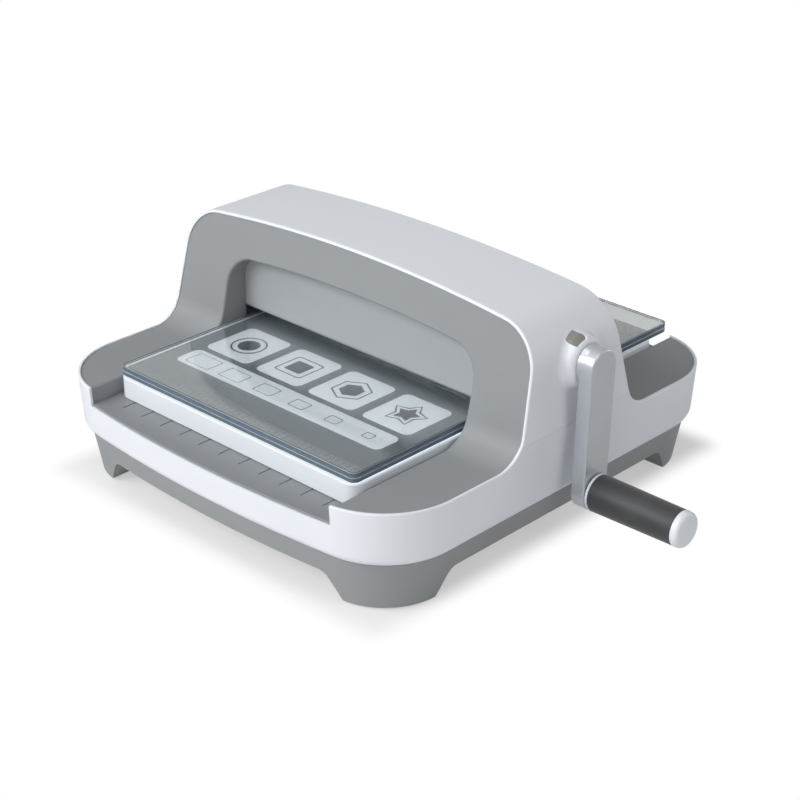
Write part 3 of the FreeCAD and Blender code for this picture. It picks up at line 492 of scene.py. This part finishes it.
def square_loop(x, y, half):
    return rounded_box(x, y, half, half, half * SQUARE_ROUNDING)


def star_loop(x, y, outer, inner, points):
    """Loop of a star, or of a polygon with twice as many corners where inner equals outer."""
    loop = []
    for corner in range(2 * points):
        turn = math.radians(STAR_START + 180 * corner / points)
        radius = inner if corner % 2 else outer
        loop.append((x + radius * math.cos(turn), y + radius * math.sin(turn)))
    return loop


def ring(loop, line):
    """Quads along a loop, a line's width wide, reaching inwards."""
    middle = sum((Vector(p) for p in loop), Vector((0, 0))) / len(loop)
    inside = []
    for point in loop:
        reach = Vector(point) - middle
        inside.append(middle + reach * (1 - line / reach.length))
    quads = []
    for i, point in enumerate(loop):
        after = (i + 1) % len(loop)
        quads.append([point, loop[after], inside[after], inside[i]])
    return quads


print("a circle has", len(circle_loop(0, 0, 1)), "points")

# %% A layer of ink
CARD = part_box("guide_card")
CARD_X = (CARD[0][0] + CARD[1][0]) / 2
CARD_Y = (CARD[0][1] + CARD[1][1]) / 2
INK_STEP = 0.00003
MM_IN_M = 1000


def ink_layer(name, loops, layer, material):
    """Flat shapes on the card, once at each end."""
    points, faces = [], []
    height = CARD[1][2] + layer * INK_STEP
    for way in (1, -1):
        for loop in loops:
            faces.append(list(range(len(points), len(points) + len(loop))))
            points += [(CARD_X + way * x / MM_IN_M, CARD_Y + way * y / MM_IN_M, height) for x, y in loop]
    mesh = bpy.data.meshes.new(name)
    mesh.from_pydata(points, [], faces)
    mesh.materials.append(material)
    piece = bpy.data.objects.new(name, mesh)
    bpy.context.collection.objects.link(piece)
    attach(piece, "platform")
    print(name, "has", len(faces), "shapes")


# %% Panels
SHAPE_Y, PANEL_COUNT, PANEL_PITCH = -64.0, 4, 50.0
PANEL_HALF_W, PANEL_HALF_H, PANEL_CORNER = 21, 22, 5
STEP_Y, STRIP_HALF_W, STRIP_HALF_H = -102.0, 96, 11

panel_places = [(i - (PANEL_COUNT - 1) / 2) * PANEL_PITCH for i in range(PANEL_COUNT)]
panels = [rounded_box(x, SHAPE_Y, PANEL_HALF_W, PANEL_HALF_H, PANEL_CORNER) for x in panel_places]
panels.append(rounded_box(0, STEP_Y, STRIP_HALF_W, STRIP_HALF_H, PANEL_CORNER))
ink_layer("guide_panels", panels, 1, ink_pale)

# %% Cutting shapes and size steps
SHAPE_LINE, STEP_LINE = 1.4, 0.8
CIRCLE_OUTER, CIRCLE_INNER = 13, 8
SQUARE_OUTER, SQUARE_INNER = 12.5, 7.5
HEXAGON_OUTER, HEXAGON_INNER, HEXAGON_PAIRS = 14.5, 9, 3
STAR_OUTER, STAR_INNER, STAR_POINTS = (15, 9), (9.5, 5.5), 5
STEP_COUNT, STEP_FIRST_X, STEP_PITCH = 6, -78, 31.2
STEP_HALF_W, STEP_HALF_H, STEP_CORNER = 11.5, 7.5, 1.5
STEP_LESS_W, STEP_LESS_H = 1.5, 0.8

circle_x, square_x, hexagon_x, star_x = panel_places
motifs = ring(circle_loop(circle_x, SHAPE_Y, CIRCLE_OUTER), SHAPE_LINE)
motifs += ring(square_loop(square_x, SHAPE_Y, SQUARE_OUTER), SHAPE_LINE)
motifs += ring(star_loop(hexagon_x, SHAPE_Y, HEXAGON_OUTER, HEXAGON_OUTER, HEXAGON_PAIRS), SHAPE_LINE)
motifs += ring(star_loop(star_x, SHAPE_Y, *STAR_OUTER, STAR_POINTS), SHAPE_LINE)
motifs.append(circle_loop(circle_x, SHAPE_Y, CIRCLE_INNER))
motifs.append(square_loop(square_x, SHAPE_Y, SQUARE_INNER))
motifs.append(star_loop(hexagon_x, SHAPE_Y, HEXAGON_INNER, HEXAGON_INNER, HEXAGON_PAIRS))
motifs.append(star_loop(star_x, SHAPE_Y, *STAR_INNER, STAR_POINTS))
for step in range(STEP_COUNT):
    half_w = STEP_HALF_W - STEP_LESS_W * step
    half_h = STEP_HALF_H - STEP_LESS_H * step
    frame_x = STEP_FIRST_X + STEP_PITCH * step
    motifs += ring(rounded_box(frame_x, STEP_Y, half_w, half_h, STEP_CORNER), STEP_LINE)
ink_layer("guide_motifs", motifs, 2, ink_dark)

# %% Scale
SCALE_Y, TICK_COUNT, TICK_FIRST_X, TICK_PITCH = -138.5, 41, -100, 5
LONG_EVERY, LONG_HALF, SHORT_HALF = 4, 3.2, 1.8
TICK_HALF_LINE, TICK_CORNER, TICK_STEPS = 0.35, 0.2, 1

ticks = []
for i in range(TICK_COUNT):
    tick_x = TICK_FIRST_X + TICK_PITCH * i
    half = LONG_HALF if i % LONG_EVERY == 0 else SHORT_HALF
    ticks.append(rounded_box(tick_x, SCALE_Y, TICK_HALF_LINE, half, TICK_CORNER, TICK_STEPS))
ink_layer("guide_scale", ticks, 1, ink_mid)

# %% [markdown]
# ## Metal
# The crank's arm is a satin silver casting, the shafts, rollers and gears inside are ground or
# machined steel, the fasteners are zinc plated and the bushes are sintered bronze. A metal is told
# by how its gloss is broken up: long fine lines on a ground roller, a soft cloud on a casting. Each
# could have a tree of its own, but one function with a stretched noise serves them all.

# %% One function for every metal
STAIN_SIZE, STAIN_TINT, STAIN_SHADE, STAIN_GLOSS = 0.02, 0.35, 0.80, 0.10
WEAR_REACH, WEAR_RANGE, WEAR_TINT, WEAR_GLOSS = 0.0008, (0.02, 0.35), 0.5, 0.06
LINE_GLOSS = 0.14


def metal(name, tint, worn, roughness, grain, stretch, depth, metallic=1.0):
    """Metal with a grain that can be drawn out into lines, and brighter corners."""
    finish = new_finish(name)
    lines = finish.noise(grain, detail=3.0, stretch=stretch)
    stain = finish.noise(STAIN_SIZE, detail=3.0)
    corner = finish.edges(WEAR_REACH).smooth(*WEAR_RANGE)
    base = finish.mix(STAIN_TINT * stain, tint, darker(tint, STAIN_SHADE))
    base = finish.mix(WEAR_TINT * corner, base, worn)
    gloss = roughness + LINE_GLOSS * lines.uneven() + STAIN_GLOSS * stain.uneven()
    return finish.done(finish.principled(Base_Color=base, Metallic=metallic,
                                         Roughness=gloss - WEAR_GLOSS * corner,
                                         Normal=finish.bump(lines, depth)))


# %% The metals
cast_silver = metal("cast_silver", colour(200, 205, 210), worn=colour(214, 217, 219),
                    roughness=0.34, grain=0.0005, stretch=(1, 1, 1), depth=0.000002, metallic=0.48)
ground_steel = metal("ground_steel", colour(178, 180, 182), worn=colour(214, 215, 216),
                     roughness=0.26, grain=0.0008, stretch=(6, 1, 1), depth=0.000006)
gear_steel = metal("gear_steel", colour(150, 150, 149), worn=colour(205, 204, 202),
                   roughness=0.34, grain=0.0007, stretch=(1, 1, 3), depth=0.000010)
plate_steel = metal("plate_steel", colour(158, 162, 166), worn=colour(196, 199, 201),
                    roughness=0.40, grain=0.0015, stretch=(1, 5, 1), depth=0.000010)
zinc = metal("zinc_plate", colour(186, 187, 184), worn=colour(216, 216, 212),
             roughness=0.34, grain=0.0010, stretch=(1, 1, 1), depth=0.000008)
bronze = metal("sintered_bronze", colour(168, 132, 84), worn=colour(202, 170, 120),
               roughness=0.44, grain=0.0006, stretch=(1, 1, 1), depth=0.000014)
spring_steel = metal("spring_steel", colour(110, 114, 124), worn=colour(170, 172, 178),
                     roughness=0.30, grain=0.0008, stretch=(1, 4, 1), depth=0.000006)

# %% Dress the metal pieces
dress(cast_silver, "crank_arm")
dress(ground_steel, "upper_roller", "lower_roller", "crank_shaft", "grip_spindle", "upper_front_tie_rod",
      "upper_rear_tie_rod", "lower_front_tie_rod", "lower_rear_tie_rod", "gear_plate_spacers")
dress(gear_steel, "upper_drive_gear", "upper_mesh_gear", "lower_mesh_gear", "crank_pinion")
dress(plate_steel, "left_side_plate", "right_side_plate", "gear_plate")
dress(zinc, "base_screws", "plate_bolts", "tie_rod_nuts", "gear_plate_screws")
dress(bronze, "upper_left_bush", "upper_right_bush", "lower_left_bush", "lower_right_bush",
      "inner_crank_bush", "outer_crank_bush")
dress(spring_steel, "button_spring")

# %% [markdown]
# ## Rubber
# The grip's sleeve is a soft charcoal elastomer with a dry sheen; the foot pads are plain black
# rubber that has picked up a little dust. A flat dark colour would do from afar, but close up the
# dust and the uneven gloss are what tell rubber from paint.

# %% Rubber
DUST_SIZE, DUST_RANGE, DUST_TINT, DUST_GLOSS = 0.015, (0.45, 0.80), 0.5, 0.10
PORE_GLOSS, RUBBER_SHEEN = 0.08, 0.15


def rubber(name, tint, dust, roughness, grain, depth):
    finish = new_finish(name)
    pore = finish.noise(grain)
    cloud = finish.noise(DUST_SIZE, detail=3.0)
    base = finish.mix(DUST_TINT * cloud.smooth(*DUST_RANGE), tint, dust)
    gloss = roughness + DUST_GLOSS * cloud.uneven() + PORE_GLOSS * pore.uneven()
    return finish.done(finish.principled(Base_Color=base, Roughness=gloss,
                                         Normal=finish.bump(pore, depth), Sheen_Weight=RUBBER_SHEEN))


grip_charcoal = rubber("grip_charcoal", colour(52, 54, 55), dust=colour(62, 64, 65),
                       roughness=0.52, grain=0.0006, depth=0.00004)
foot_rubber = rubber("foot_rubber", colour(34, 34, 34), dust=colour(62, 61, 59),
                     roughness=0.70, grain=0.0008, depth=0.00005)
dress(grip_charcoal, "grip_sleeve")
dress(foot_rubber, "foot_pads")
